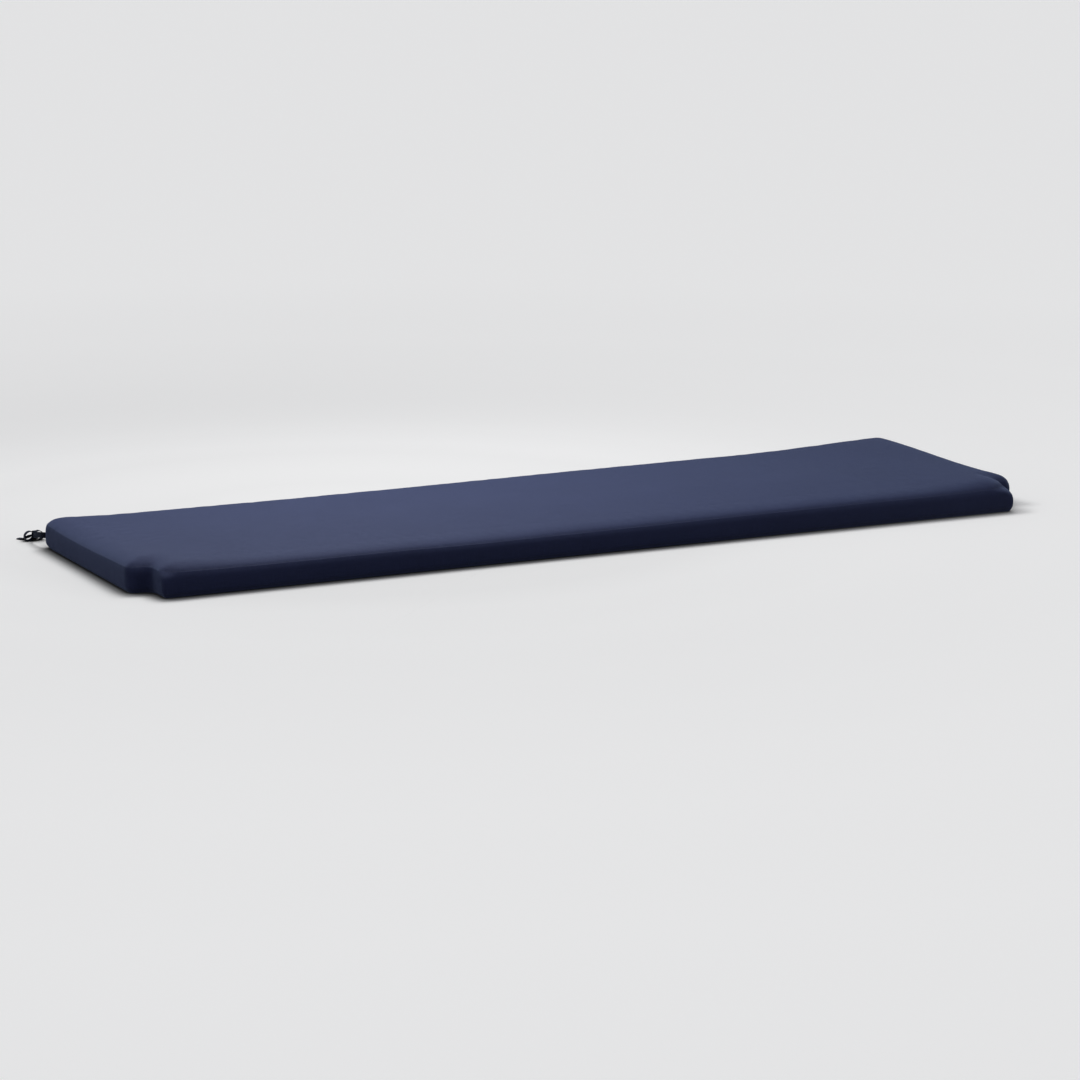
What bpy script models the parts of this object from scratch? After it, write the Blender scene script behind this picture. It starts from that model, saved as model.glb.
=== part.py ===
"""Bench cushion: a thin box cushion with two notched front corners and a tied pair of tapes at
each back corner. Metres, +Z up. The origin is under the middle of the cushion, on the surface
that it rests on; +X runs along the cushion and +Y to its back edge."""
import math

import bmesh
import bpy
from mathutils import Vector

# Cushion, driving dimensions
LENGTH = 1.500
DEPTH = 0.434
FRONT_EDGE = 1.434
NOTCH_DEPTH = 0.052
UPPER_SEAM_HEIGHT = 0.0358
LOWER_SEAM_HEIGHT = 0.0058
SHOULDER_RISE = 0.0065
SHOULDER_REACH = 0.030
CROWN_RISE = 0.0030
FRONT_DRAWN_IN = 0.0050
BACK_DRAWN_IN = 0.0010

# Seams: each stands proud of the boxing band and has a crease on its panel's side
RIDGE_HEIGHT = 0.0025
BAND_INSET = 0.0014
BAND_HOLLOW = 0.0022
CREASE_INSET = 0.0022
CREASE_RISE = 0.0015

# The underside turns up to its seam in two steps
UNDERSIDE_INSET = 0.0080
TURN_INSET = 0.0045
TURN_HEIGHT = 0.0010
TURN_TOP = 0.0048

# Corner radii of the plan; a front corner is tight at the lower seam and round at the upper one
FRONT_RADIUS = 0.007
FRONT_TOP_RADIUS = 0.026
NOTCH_RADIUS = 0.008
SIDE_RADIUS = 0.016
BACK_RADIUS = 0.025
SMALLEST_ARC = 0.0005
ARC_STEPS = 5

# Mesh steps
EDGE_STEP = 0.050
GRID_STEP = 0.060
TOP_RINGS = (0.0046, 0.0075, 0.0100)
GRID_MARGINS = (0.020, 0.032, 0.048, 0.072)

# Where the filling stands fuller: place, reach and the extra share of the height
FULLER_SPOTS = (
    {"x": 0.745, "y": 0.217, "reach": 0.190, "share": 0.170},
    {"x": 0.150, "y": 0.217, "reach": 0.350, "share": 0.032},
    {"x": -0.745, "y": -0.150, "reach": 0.110, "share": 0.150},
    {"x": 0.710, "y": -0.217, "reach": 0.080, "share": 0.070},
)
FULLER_RIGHT_END = 0.110

# Tapes and bows
TAPE_WIDTH = 0.0090
TAPE_THICKNESS = 0.0012
PATH_STEPS = 4
KNOT_CENTRE = Vector((0.7455, 0.2668, 0.0106))
KNOT_HALF_SIZES = (0.0056, 0.0046, 0.0058)

# Routes on the left corner, with x measured outwards from the middle of the cushion.
OUTER_TAPE = (
    {"out": 0.7402, "back": 0.2100, "up": 0.0180},
    {"out": 0.7446, "back": 0.2140, "up": 0.0180},
    {"out": 0.7492, "back": 0.2205, "up": 0.0176},
    {"out": 0.7506, "back": 0.2300, "up": 0.0164},
    {"out": 0.7508, "back": 0.2400, "up": 0.0146},
    {"out": 0.7508, "back": 0.2500, "up": 0.0128},
    {"out": 0.7496, "back": 0.2580, "up": 0.0115},
    {"out": 0.7472, "back": 0.2619, "up": 0.0108},
)
INNER_TAPE = (
    {"out": 0.7105, "back": 0.2157, "up": 0.0180},
    {"out": 0.7104, "back": 0.2210, "up": 0.0178},
    {"out": 0.7098, "back": 0.2300, "up": 0.0160},
    {"out": 0.7096, "back": 0.2400, "up": 0.0130},
    {"out": 0.7108, "back": 0.2500, "up": 0.0100},
    {"out": 0.7150, "back": 0.2585, "up": 0.0080},
    {"out": 0.7225, "back": 0.2625, "up": 0.0072},
    {"out": 0.7315, "back": 0.2640, "up": 0.0082},
    {"out": 0.7400, "back": 0.2645, "up": 0.0100},
)
OUTER_LOOP = (
    {"out": 0.7470, "back": 0.2690, "up": 0.0128},
    {"out": 0.7520, "back": 0.2700, "up": 0.0150},
    {"out": 0.7575, "back": 0.2705, "up": 0.0128},
    {"out": 0.7602, "back": 0.2705, "up": 0.0080},
    {"out": 0.7590, "back": 0.2705, "up": 0.0034},
    {"out": 0.7550, "back": 0.2700, "up": 0.0013},
    {"out": 0.7505, "back": 0.2695, "up": 0.0030},
    {"out": 0.7470, "back": 0.2690, "up": 0.0080},
)
INNER_LOOP = (
    {"out": 0.7440, "back": 0.2695, "up": 0.0130},
    {"out": 0.7385, "back": 0.2710, "up": 0.0148},
    {"out": 0.7325, "back": 0.2725, "up": 0.0120},
    {"out": 0.7296, "back": 0.2735, "up": 0.0072},
    {"out": 0.7315, "back": 0.2735, "up": 0.0028},
    {"out": 0.7360, "back": 0.2725, "up": 0.0013},
    {"out": 0.7405, "back": 0.2710, "up": 0.0034},
    {"out": 0.7440, "back": 0.2695, "up": 0.0082},
)
LONG_END = (
    {"out": 0.7446, "back": 0.2695, "up": 0.0070},
    {"out": 0.7430, "back": 0.2765, "up": 0.0040},
    {"out": 0.7402, "back": 0.2850, "up": 0.0012},
    {"out": 0.7362, "back": 0.2960, "up": 0.0010},
    {"out": 0.7320, "back": 0.3060, "up": 0.0010},
)
SHORT_END = (
    {"out": 0.7468, "back": 0.2690, "up": 0.0098},
    {"out": 0.7500, "back": 0.2745, "up": 0.0076},
    {"out": 0.7545, "back": 0.2800, "up": 0.0036},
    {"out": 0.7590, "back": 0.2860, "up": 0.0012},
    {"out": 0.7630, "back": 0.2930, "up": 0.0010},
)

COLOURS = {"cover": (0.026, 0.036, 0.085, 1.0), "tape": (0.008, 0.009, 0.014, 1.0)}


def clear_scene():
    for item in list(bpy.data.objects):
        bpy.data.objects.remove(item, do_unlink=True)


def cloth_material(name, roughness):
    material = bpy.data.materials.new(name)
    material.use_nodes = True
    shader = material.node_tree.nodes["Principled BSDF"]
    shader.inputs["Base Color"].default_value = COLOURS[name]
    shader.inputs["Roughness"].default_value = roughness
    shader.inputs["Metallic"].default_value = 0.0
    return material


def add_object(name, mesh, material):
    item = bpy.data.objects.new(name, mesh)
    bpy.context.collection.objects.link(item)
    if not mesh.materials:
        mesh.materials.append(material)
    return item


def plan_corners(height):
    """The plan's corners at a height, anticlockwise from the left end of the front edge. Each
    has its x and y, its radius and its turn, which is 1 where it stands out and -1 in a notch."""
    front, back, step = -DEPTH / 2, DEPTH / 2, -DEPTH / 2 + NOTCH_DEPTH
    inner, outer = FRONT_EDGE / 2, LENGTH / 2
    rounder = (FRONT_TOP_RADIUS - FRONT_RADIUS) * smooth(height / UPPER_SEAM_HEIGHT)
    return (
        (-inner, front, FRONT_RADIUS + rounder, 1),
        (inner, front, FRONT_RADIUS + rounder, 1),
        (inner, step, NOTCH_RADIUS, -1),
        (outer, step, SIDE_RADIUS, 1),
        (outer, back, BACK_RADIUS, 1),
        (-outer, back, BACK_RADIUS, 1),
        (-outer, step, SIDE_RADIUS, 1),
        (-inner, step, NOTCH_RADIUS, -1),
    )


def corner_arc(corner, before, after, inset):
    """Points round one corner of the outline moved inwards by inset."""
    x, y, radius, turn = corner
    radius = max(radius, turn * inset + SMALLEST_ARC)
    place = Vector((x, y))
    arrive = (place - Vector(before[:2])).normalized()
    leave = (Vector(after[:2]) - place).normalized()
    centre = place + (leave - arrive) * radius
    reach = radius - turn * inset
    start = math.atan2(*(-leave).yx)
    return [
        centre + Vector((math.cos(angle), math.sin(angle))) * reach
        for angle in (start + turn * math.pi / 2 * i / ARC_STEPS for i in range(ARC_STEPS + 1))
    ]


def outline(inset, height):
    """The outline at a height, moved inwards by inset, always with the same number of points."""
    corners = plan_corners(height)
    count = len(corners)
    arcs = [corner_arc(corners[i], corners[i - 1], corners[(i + 1) % count], inset)
            for i in range(count)]
    points = []
    for i, arc in enumerate(arcs):
        following = arcs[(i + 1) % count]
        points += arc
        nominal = Vector(corners[(i + 1) % count][:2]) - Vector(corners[i][:2])
        pieces = max(1, round(nominal.length / EDGE_STEP))
        points += [arc[-1].lerp(following[0], k / pieces) for k in range(1, pieces)]
    return points


def inside_corner(from_one, from_other, radius):
    """Distance to the outline near a rounded corner, from the distances to its two sides."""
    if max(from_one, from_other) < radius:
        return radius - math.hypot(radius - from_one, radius - from_other)
    return min(from_one, from_other)


def edge_distance(x, y):
    """How far a point of the top panel lies inside the outline."""
    to_end, to_back, to_front = LENGTH / 2 - abs(x), DEPTH / 2 - y, DEPTH / 2 + y
    across, along = FRONT_EDGE / 2 - abs(x), to_front - NOTCH_DEPTH
    if along <= 0:
        return inside_corner(across, to_front, FRONT_TOP_RADIUS)
    from_back = inside_corner(to_end, to_back, BACK_RADIUS)
    if across > 0:
        return min(from_back, to_front, math.hypot(across, along))
    return min(from_back, inside_corner(to_end, along, SIDE_RADIUS))


def fullness(x, y):
    """The share by which the filling stands over or under its usual height."""
    share = FULLER_RIGHT_END * smooth((x + LENGTH / 4) / (2 * LENGTH / 3))
    for spot in FULLER_SPOTS:
        away = math.hypot(x - spot["x"], y - spot["y"]) / spot["reach"]
        share += spot["share"] * math.exp(-away * away)
    return 1.0 + share


def smooth(t):
    t = min(max(t, 0.0), 1.0)
    return t * t * (3 - 2 * t)


def crowned_height(x, y):
    """Height of the top panel over a point of the plan, before the filling's unevenness."""
    away = min(max((edge_distance(x, y) - CREASE_INSET) / SHOULDER_REACH, 0.0), 1.0)
    shoulder = SHOULDER_RISE * (1 - (1 - away) ** 3)
    crown = CROWN_RISE * (1 - (2 * x / LENGTH) ** 4) * (1 - (2 * y / DEPTH) ** 2) * smooth(away)
    return UPPER_SEAM_HEIGHT + CREASE_RISE + shoulder + crown


def settle(x, y, height):
    """A point of the case: the long edges drawn in between the corners, the filling uneven."""
    deepest = FRONT_DRAWN_IN if y < 0 else BACK_DRAWN_IN
    bow = deepest * (1 - (2 * x / LENGTH) ** 2)
    return Vector((x, y * (1 - 2 * bow / DEPTH), height * fullness(x, y)))


def case_rings():
    """Inset and height of each ring from the underside to the crease over the upper seam."""
    low, high = LOWER_SEAM_HEIGHT, UPPER_SEAM_HEIGHT
    return (
        (UNDERSIDE_INSET, 0.0),
        (TURN_INSET, TURN_HEIGHT),
        (CREASE_INSET, TURN_TOP),
        (0.0, low),
        (BAND_INSET, low + RIDGE_HEIGHT),
        (BAND_HOLLOW, (low + high) / 2),
        (BAND_INSET, high - RIDGE_HEIGHT),
        (0.0, high),
        (CREASE_INSET, high + CREASE_RISE),
    )


def add_ring(bm, inset, height):
    return [bm.verts.new(settle(p.x, p.y, height)) for p in outline(inset, height)]


def add_top_ring(bm, inset):
    return [bm.verts.new(settle(p.x, p.y, crowned_height(p.x, p.y)))
            for p in outline(inset, UPPER_SEAM_HEIGHT)]


def band_between(bm, lower, upper):
    count = len(lower)
    for i in range(count):
        j = (i + 1) % count
        bm.faces.new((lower[i], lower[j], upper[j], upper[i]))


def grid_lines(half_span):
    """Places of the cuts across the top panel, closer together near its edges."""
    margins = [half_span - margin for margin in GRID_MARGINS]
    inner = margins[-1]
    pieces = round(2 * inner / GRID_STEP)
    middle = [-inner + 2 * inner * k / pieces for k in range(1, pieces)]
    return sorted([-m for m in margins] + middle + margins)


def cut_panel(bm, panel):
    """Cut one flat panel into a grid and return its vertices."""
    faces = [panel]
    cuts = [((x, 0, 0), (1, 0, 0)) for x in grid_lines(LENGTH / 2)]
    cuts += [((0, y, 0), (0, 1, 0)) for y in grid_lines(DEPTH / 2)]
    for place, normal in cuts:
        geometry = faces + list({e for f in faces for e in f.edges})
        geometry += list({v for f in faces for v in f.verts})
        result = bmesh.ops.bisect_plane(bm, geom=geometry, dist=1e-6, plane_co=place, plane_no=normal)
        faces = [item for item in result["geom"] if isinstance(item, bmesh.types.BMFace)]
    return {v for f in faces for v in f.verts}


def cushion_mesh():
    bm = bmesh.new()
    rings = [add_ring(bm, inset, height) for inset, height in case_rings()]
    rings += [add_top_ring(bm, inset) for inset in TOP_RINGS]
    for lower, upper in zip(rings, rings[1:]):
        band_between(bm, lower, upper)
    bm.faces.new(list(reversed(rings[0])))

    # The inner top panel is cut while flat, then raised with the rest of the crown.
    edge = {v: v.co.copy() for v in rings[-1]}
    flat = outline(TOP_RINGS[-1], UPPER_SEAM_HEIGHT)
    for v, p in zip(rings[-1], flat):
        v.co = Vector((p.x, p.y, 0))
    inside = cut_panel(bm, bm.faces.new(rings[-1]))
    for v in inside:
        if v in edge:
            v.co = edge[v]
        else:
            v.co = settle(v.co.x, v.co.y, crowned_height(v.co.x, v.co.y))

    mesh = bpy.data.meshes.new("cushion")
    bm.to_mesh(mesh)
    bm.free()
    mesh.shade_smooth()
    mesh.set_sharp_from_angle(angle=math.radians(50))
    return mesh


def along_route(route, side):
    """A smooth path through a route's points; side is -1 at the left corner and 1 at the right."""
    points = [Vector((side * p["out"], p["back"], p["up"])) for p in route]
    padded = [2 * points[0] - points[1]] + points + [2 * points[-1] - points[-2]]
    path = []
    for a, b, c, d in zip(padded, padded[1:], padded[2:], padded[3:]):
        for k in range(PATH_STEPS):
            t = k / PATH_STEPS
            path.append(0.5 * (2 * b + (c - a) * t + (2 * a - 5 * b + 4 * c - d) * t * t
                               + (3 * b - a - 3 * c + d) * t ** 3))
    path.append(points[-1])
    return path


def tape_section(path, i, start_axis, end_axis):
    """The four corners of the tape across its path at point i."""
    ahead = path[min(i + 1, len(path) - 1)] - path[max(i - 1, 0)]
    along = ahead.normalized()
    axis = start_axis.lerp(end_axis, i / (len(path) - 1))
    across = (axis - along * axis.dot(along)).normalized() * TAPE_WIDTH / 2
    through = across.cross(along).normalized() * TAPE_THICKNESS / 2
    return [path[i] + a * across + b * through for a, b in ((1, 1), (-1, 1), (-1, -1), (1, -1))]


def tape_mesh(name, route, side, start_axis, end_axis):
    """A flat tape along a route, with its width along an axis that turns from start to end."""
    path = along_route(route, side)
    bm = bmesh.new()
    end = bm.faces.new([bm.verts.new(p) for p in tape_section(path, 0, start_axis, end_axis)])
    bm.faces.new([bm.verts.new(v.co) for v in reversed(end.verts[:])])
    for i in range(1, len(path)):
        grown = bmesh.ops.extrude_face_region(bm, geom=[end])["geom"]
        bmesh.ops.delete(bm, geom=[end], context="FACES_ONLY")
        end = next(item for item in grown if isinstance(item, bmesh.types.BMFace))
        for v, p in zip(end.verts, tape_section(path, i, start_axis, end_axis)):
            v.co = p
    bmesh.ops.remove_doubles(bm, verts=bm.verts[:], dist=1e-6)
    bmesh.ops.recalc_face_normals(bm, faces=bm.faces[:])
    mesh = bpy.data.meshes.new(name)
    bm.to_mesh(mesh)
    bm.free()
    return mesh


def knot_mesh(name, side):
    bm = bmesh.new()
    bmesh.ops.create_uvsphere(bm, u_segments=14, v_segments=9, radius=1.0)
    bmesh.ops.scale(bm, vec=KNOT_HALF_SIZES, verts=bm.verts[:])
    place = Vector((side * KNOT_CENTRE.x, KNOT_CENTRE.y, KNOT_CENTRE.z))
    bmesh.ops.translate(bm, vec=place, verts=bm.verts[:])
    mesh = bpy.data.meshes.new(name)
    bm.to_mesh(mesh)
    bm.free()
    return mesh


def add_tie(label, side, material):
    """Two tapes sewn to one back corner, and the bow that ties them together."""
    upright, level = Vector((0, 0, 1)), Vector((0, 1, 0))
    sideways = Vector((side, 0, 0))
    for part, route in (("outer", OUTER_TAPE), ("inner", INNER_TAPE)):
        name = "tie_%s_%s" % (label, part)
        add_object(name, tape_mesh(name, route, side, upright, upright), material)
    name = "bow_" + label
    bow = add_object(name, knot_mesh(name, side), material)
    pieces = (("loop_outer", OUTER_LOOP, level, level), ("loop_inner", INNER_LOOP, level, level),
              ("end_long", LONG_END, sideways, sideways),
              ("end_short", SHORT_END, sideways, sideways))
    for part, route, start_axis, end_axis in pieces:
        helper_name = "%s_%s" % (name, part)
        helper = add_object(helper_name, tape_mesh(helper_name, route, side, start_axis, end_axis),
                            material)
        helper.hide_render = True
        helper.display_type = "WIRE"
        union = bow.modifiers.new(part, "BOOLEAN")
        union.operation = "UNION"
        union.solver = "EXACT"
        union.object = helper


def main():
    clear_scene()
    add_object("cushion", cushion_mesh(), cloth_material("cover", 0.85))
    tape = cloth_material("tape", 0.80)
    for label, side in (("left", -1), ("right", 1)):
        add_tie(label, side, tape)


main()
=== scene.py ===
"""Looks of the bench cushion: a navy canvas box cushion with two notched front corners, and a
bow of dark tape tied at each back corner. Metres, +Z up. +X runs along the cushion and +Y to its
back edge; the origin lies under its middle, on the surface that it rests on."""
import math

import bmesh
import bpy
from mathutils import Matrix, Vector, noise
from mathutils.kdtree import KDTree


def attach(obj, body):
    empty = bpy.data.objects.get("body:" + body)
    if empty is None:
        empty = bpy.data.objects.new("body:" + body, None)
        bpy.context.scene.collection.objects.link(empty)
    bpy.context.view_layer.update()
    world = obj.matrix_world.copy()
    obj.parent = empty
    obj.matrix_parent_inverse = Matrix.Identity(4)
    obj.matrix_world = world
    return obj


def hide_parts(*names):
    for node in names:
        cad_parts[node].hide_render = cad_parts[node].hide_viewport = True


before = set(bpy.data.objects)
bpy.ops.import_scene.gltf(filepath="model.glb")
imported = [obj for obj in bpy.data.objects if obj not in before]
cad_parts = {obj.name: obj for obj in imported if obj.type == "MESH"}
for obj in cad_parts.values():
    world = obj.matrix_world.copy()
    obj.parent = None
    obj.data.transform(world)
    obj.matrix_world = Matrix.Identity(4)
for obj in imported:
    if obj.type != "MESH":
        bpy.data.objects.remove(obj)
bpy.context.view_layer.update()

# Cushion: the same driving sizes as the solid
LENGTH = 1.500
DEPTH = 0.434
FRONT_EDGE = 1.434
NOTCH_DEPTH = 0.052
UPPER_SEAM_HEIGHT = 0.0338
LOWER_SEAM_HEIGHT = 0.0086
EDGE_RISE = 0.0010
EDGE_REACH = 0.0040
SHOULDER_RISE = {"front": 0.0065, "elsewhere": 0.0105}
SHOULDER_REACH = {"front": 0.030, "elsewhere": 0.042}
FRONT_SHOULDER_FADE = 0.20
CROWN_RISE = 0.0030
FRONT_DRAWN_IN = 0.0050
BACK_DRAWN_IN = 0.0010

# How far each seam is set back from the band, and how far down the band that reaches
UPPER_SET_BACK = {"depth": 0.0050, "reach": 0.0125, "power": 2.6}
LOWER_SET_BACK = {"depth": 0.0010, "reach": 0.0070, "power": 2.0}
SET_BACK_FADE = 0.060
SET_BACK_SHARES = {"front": 1.0, "ends": 0.4, "back": 0.45}
TOUCHING = 0.00002

# Corner radii of the plan; a front corner is tight at the lower seam and round at the upper one
FRONT_RADIUS = 0.007
FRONT_TOP_RADIUS = {"left": 0.024, "right": 0.042}
FRONT_RADIUS_POWER = 5
NOTCH_RADIUS = 0.008
NOTCH_BLEND = 0.024
SIDE_RADIUS = 0.016
BACK_RADIUS = 0.021

# Where the filling stands fuller: place, reach and the extra share of the height
FULLER_SPOTS = (
    {"x": 0.745, "y": 0.217, "reach": 0.190, "share": 0.170},
    {"x": 0.150, "y": 0.217, "reach": 0.350, "share": 0.032},
    {"x": -0.745, "y": -0.150, "reach": 0.110, "share": 0.090},
    {"x": 0.710, "y": -0.217, "reach": 0.080, "share": 0.070},
    {"x": 0.750, "y": 0.130, "reach": 0.150, "share": 0.070},
    {"x": -0.750, "y": 0.217, "reach": 0.070, "share": 0.090},
)
FULLER_RIGHT_END = 0.110
FRONT_SAG = {"depth": 0.0016, "from": -0.38, "to": -0.20, "reach": 0.030}

# Rows of the mesh: distances from a seam, then an even step
SEAM_ROWS = (0.0, 0.0016, 0.0032, 0.0055, 0.0090, 0.0140)
BAND_DROPS = (0.0014, 0.0028, 0.0048, 0.0074, 0.0104, 0.0136, 0.0168, 0.0198, 0.0222, 0.0238,
              0.0252)
UNDERSIDE_ROWS = (0.0006, 0.0014, 0.0025, 0.0038, 0.0055, 0.0080)
UNDERSIDE_ROLL = 2.6
PANEL_STEP = 0.0086
UNDERSIDE_STEP = 0.050

# How the cloth settles: pressure, spare width, frames, and the furthest that a point may move
CLOTH = {"pressure": 4.0, "slack": 0.004, "mass": 0.05, "frames": 20, "cap": 0.0018}
TOP_HELD = 0.32
BAND_HELD = 0.50
HELD_REACH = 0.020
UNDERSIDE_HELD_BELOW = 0.0045

# Seams, puckers and slack, after the cloth has settled
RIDGE = {"height": 0.00025, "half_width": 0.0012}
CREASE = {"depth": 0.0002, "offset": 0.0030, "half_width": 0.0014, "on_band": 0.2}
PUCKER = {"depth": 0.00022, "length": 0.011, "reach": 0.009, "at_corners": 1.5}
WAVES = ({"depth": 0.00040, "length": 0.150}, {"depth": 0.00006, "length": 0.042})
CORNER_REACH = 0.050
FLOOR_GAP = 0.0002
UNDERSIDE_FADE = 0.0040

# Ties: flat tape, and its routes at the right corner, as distances out from the cushion's
# middle, towards its back and up
TAPE_WIDTH = 0.0090
TAPE_THICKNESS = 0.0011
TAPE_STEPS = 8
TAPE_SECTION_POINTS = 16
SEWN_IN = 0.0040
KNOT_CENTRE = (0.7455, 0.2668, 0.0106)
KNOT_CORE = (0.0048, 0.0038, 0.0048)
KNOT_WRAP = (0.0041, 0.0052)
OUTER_TAPE = (
    {"out": 0.7402, "back": 0.2100, "up": 0.0180},
    {"out": 0.7446, "back": 0.2140, "up": 0.0180},
    {"out": 0.7492, "back": 0.2205, "up": 0.0176},
    {"out": 0.7506, "back": 0.2300, "up": 0.0164},
    {"out": 0.7508, "back": 0.2400, "up": 0.0146},
    {"out": 0.7508, "back": 0.2500, "up": 0.0128},
    {"out": 0.7496, "back": 0.2580, "up": 0.0115},
    {"out": 0.7472, "back": 0.2619, "up": 0.0108},
)
INNER_TAPE = (
    {"out": 0.7105, "back": 0.2157, "up": 0.0180},
    {"out": 0.7104, "back": 0.2210, "up": 0.0178},
    {"out": 0.7098, "back": 0.2300, "up": 0.0160},
    {"out": 0.7096, "back": 0.2400, "up": 0.0130},
    {"out": 0.7108, "back": 0.2500, "up": 0.0100},
    {"out": 0.7150, "back": 0.2585, "up": 0.0080},
    {"out": 0.7225, "back": 0.2625, "up": 0.0072},
    {"out": 0.7315, "back": 0.2640, "up": 0.0082},
    {"out": 0.7400, "back": 0.2645, "up": 0.0100},
)
OUTER_LOOP = (
    {"out": 0.7470, "back": 0.2690, "up": 0.0128},
    {"out": 0.7520, "back": 0.2700, "up": 0.0150},
    {"out": 0.7575, "back": 0.2705, "up": 0.0128},
    {"out": 0.7602, "back": 0.2705, "up": 0.0080},
    {"out": 0.7590, "back": 0.2705, "up": 0.0034},
    {"out": 0.7550, "back": 0.2700, "up": 0.0013},
    {"out": 0.7505, "back": 0.2695, "up": 0.0030},
    {"out": 0.7470, "back": 0.2690, "up": 0.0080},
)
INNER_LOOP = (
    {"out": 0.7440, "back": 0.2695, "up": 0.0130},
    {"out": 0.7385, "back": 0.2710, "up": 0.0148},
    {"out": 0.7325, "back": 0.2725, "up": 0.0120},
    {"out": 0.7296, "back": 0.2735, "up": 0.0072},
    {"out": 0.7315, "back": 0.2735, "up": 0.0028},
    {"out": 0.7360, "back": 0.2725, "up": 0.0013},
    {"out": 0.7405, "back": 0.2710, "up": 0.0034},
    {"out": 0.7440, "back": 0.2695, "up": 0.0082},
)
LONG_END = (
    {"out": 0.7446, "back": 0.2695, "up": 0.0070},
    {"out": 0.7430, "back": 0.2765, "up": 0.0040},
    {"out": 0.7402, "back": 0.2850, "up": 0.0012},
    {"out": 0.7362, "back": 0.2960, "up": 0.0010},
    {"out": 0.7320, "back": 0.3060, "up": 0.0010},
)
SHORT_END = (
    {"out": 0.7468, "back": 0.2690, "up": 0.0098},
    {"out": 0.7500, "back": 0.2745, "up": 0.0076},
    {"out": 0.7545, "back": 0.2800, "up": 0.0036},
    {"out": 0.7590, "back": 0.2860, "up": 0.0012},
    {"out": 0.7630, "back": 0.2930, "up": 0.0010},
)
KNOT_TURN_POINTS = 40
PINCH = {"width": 0.60, "reach": 0.009}
HEM = {"length": 0.006, "thickness": 1.5}

# The photograph's view
CAMERA_PLACE = (-2.160, -4.1905, 0.9241)
CAMERA_YAW = 27.04
CAMERA_PITCH = 11.31
CAMERA_FOCAL_PIXELS = 3101.0
PHOTO_PIXELS = 1080
SENSOR_WIDTH = 36.0

# Light
BROAD_LIGHT = {"towards": (0.10, 0.34, 0.93), "strength": 0.60, "softness": 40}
KEY_LIGHT = {"place": (-0.22, 0.40, 0.98), "target": (-0.18, 0.0, 0.0), "size": (0.7, 0.5),
             "power": 9.8}
FILL_BY_HEIGHT = ((-0.1, 0.08), (0.1, 0.39), (0.8, 0.24))
FLOOR_CENTRE = (-0.247, 0.241, 0.0)
FLOOR_TONE = ((0.0, 0.61), (0.3, 0.66), (0.5, 0.76), (0.7, 0.87), (0.9, 0.92), (3.2, 0.95))
FLOOR_GLOW = ((0.6, 0.0), (0.9, 0.095), (1.1, 0.167), (1.3, 0.223), (1.5, 0.264), (1.7, 0.291),
              (2.1, 0.320), (3.2, 0.341))
# Painted contact shade: the floor's colour darkens where the cushion and ties rest close over it
PAINTED_CONTACT_SHADE = {"reach": 0.030, "darkest": 0.15}

# Finishes
WEAVE_PITCH = (0.00055, 0.00068)
STITCH_LENGTH = 0.0034
# Painted shade beside each seam: where the groove lies, its half width, and how much darker the
# colour gets there; the same mask also dents the bump
SEAM_GROOVE_AND_SHADE = {"offset": 0.0014, "half_width": 0.0006, "darker": 0.25}
GATHERS = {"length": 0.0060, "reach": 0.0060, "height": 1.2}
NAVY_DEEP = (0.009, 0.012, 0.036, 1.0)
NAVY_PALE = (0.030, 0.041, 0.130, 1.0)
SHEEN = {"weight": 0.30, "roughness": 0.45, "tint": (0.45, 0.60, 1.0, 1.0)}
TAPE_RIB = 0.0011
TAPE_DEEP = (0.0015, 0.0020, 0.0055, 1.0)
TAPE_PALE = (0.0060, 0.0078, 0.0190, 1.0)


def smooth(t):
    t = min(max(t, 0.0), 1.0)
    return t * t * (3 - 2 * t)


def grey_ramp(tree, value, stops):
    """Turns a value into the number that the stops give for it, by straight lines between them."""
    low, high = stops[0][0], stops[-1][0]
    share = tree.nodes.new("ShaderNodeMapRange")
    share.inputs["From Min"].default_value = low
    share.inputs["From Max"].default_value = high
    tree.links.new(value, share.inputs["Value"])
    ramp = tree.nodes.new("ShaderNodeValToRGB")
    tree.links.new(share.outputs["Result"], ramp.inputs["Fac"])
    elements = ramp.color_ramp.elements
    for i, (place, number) in enumerate(stops):
        position = (place - low) / (high - low)
        between = 0 < i < len(stops) - 1
        element = elements.new(position) if between else elements[0 if i == 0 else -1]
        element.color = (number, number, number, 1.0)
    return ramp.outputs["Color"]


# ---------------------------------------------------------------- finishes

class Finish:
    """A material's node tree, and short ways to add the nodes that a cloth needs."""

    def __init__(self, name):
        self.material = bpy.data.materials.new(name)
        self.material.use_nodes = True
        self.tree = self.material.node_tree
        self.shader = self.tree.nodes["Principled BSDF"]

    def node(self, kind, settings=(), **sockets):
        made = self.tree.nodes.new("ShaderNode" + kind)
        for name, value in dict(settings).items():
            setattr(made, name, value)
        for name, value in sockets.items():
            self.plug(made.inputs[name.replace("_", " ")], value)
        return made

    def plug(self, socket, value):
        if isinstance(value, bpy.types.NodeSocket):
            self.tree.links.new(value, socket)
        else:
            socket.default_value = value

    def math(self, operation, first, second=0.0):
        made = self.tree.nodes.new("ShaderNodeMath")
        made.operation = operation
        self.plug(made.inputs[0], first)
        self.plug(made.inputs[1], second)
        return made.outputs["Value"]

    def attribute(self, name):
        return self.node("Attribute", {"attribute_name": name}).outputs["Fac"]

    def spread(self, value, low, high, to_low, to_high):
        """Maps a value from low..high to to_low..to_high, clamped."""
        made = self.node("MapRange", Value=value)
        for name, number in (("From Min", low), ("From Max", high),
                             ("To Min", to_low), ("To Max", to_high)):
            made.inputs[name].default_value = number
        return made.outputs["Result"]

    def noise(self, vector, scale, detail=2.0):
        made = self.node("TexNoise", Vector=vector, Scale=scale, Detail=detail)
        return made.outputs["Fac"]

    def stretched(self, vector, scale):
        return self.node("Mapping", Vector=vector, Scale=scale).outputs["Vector"]


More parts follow.
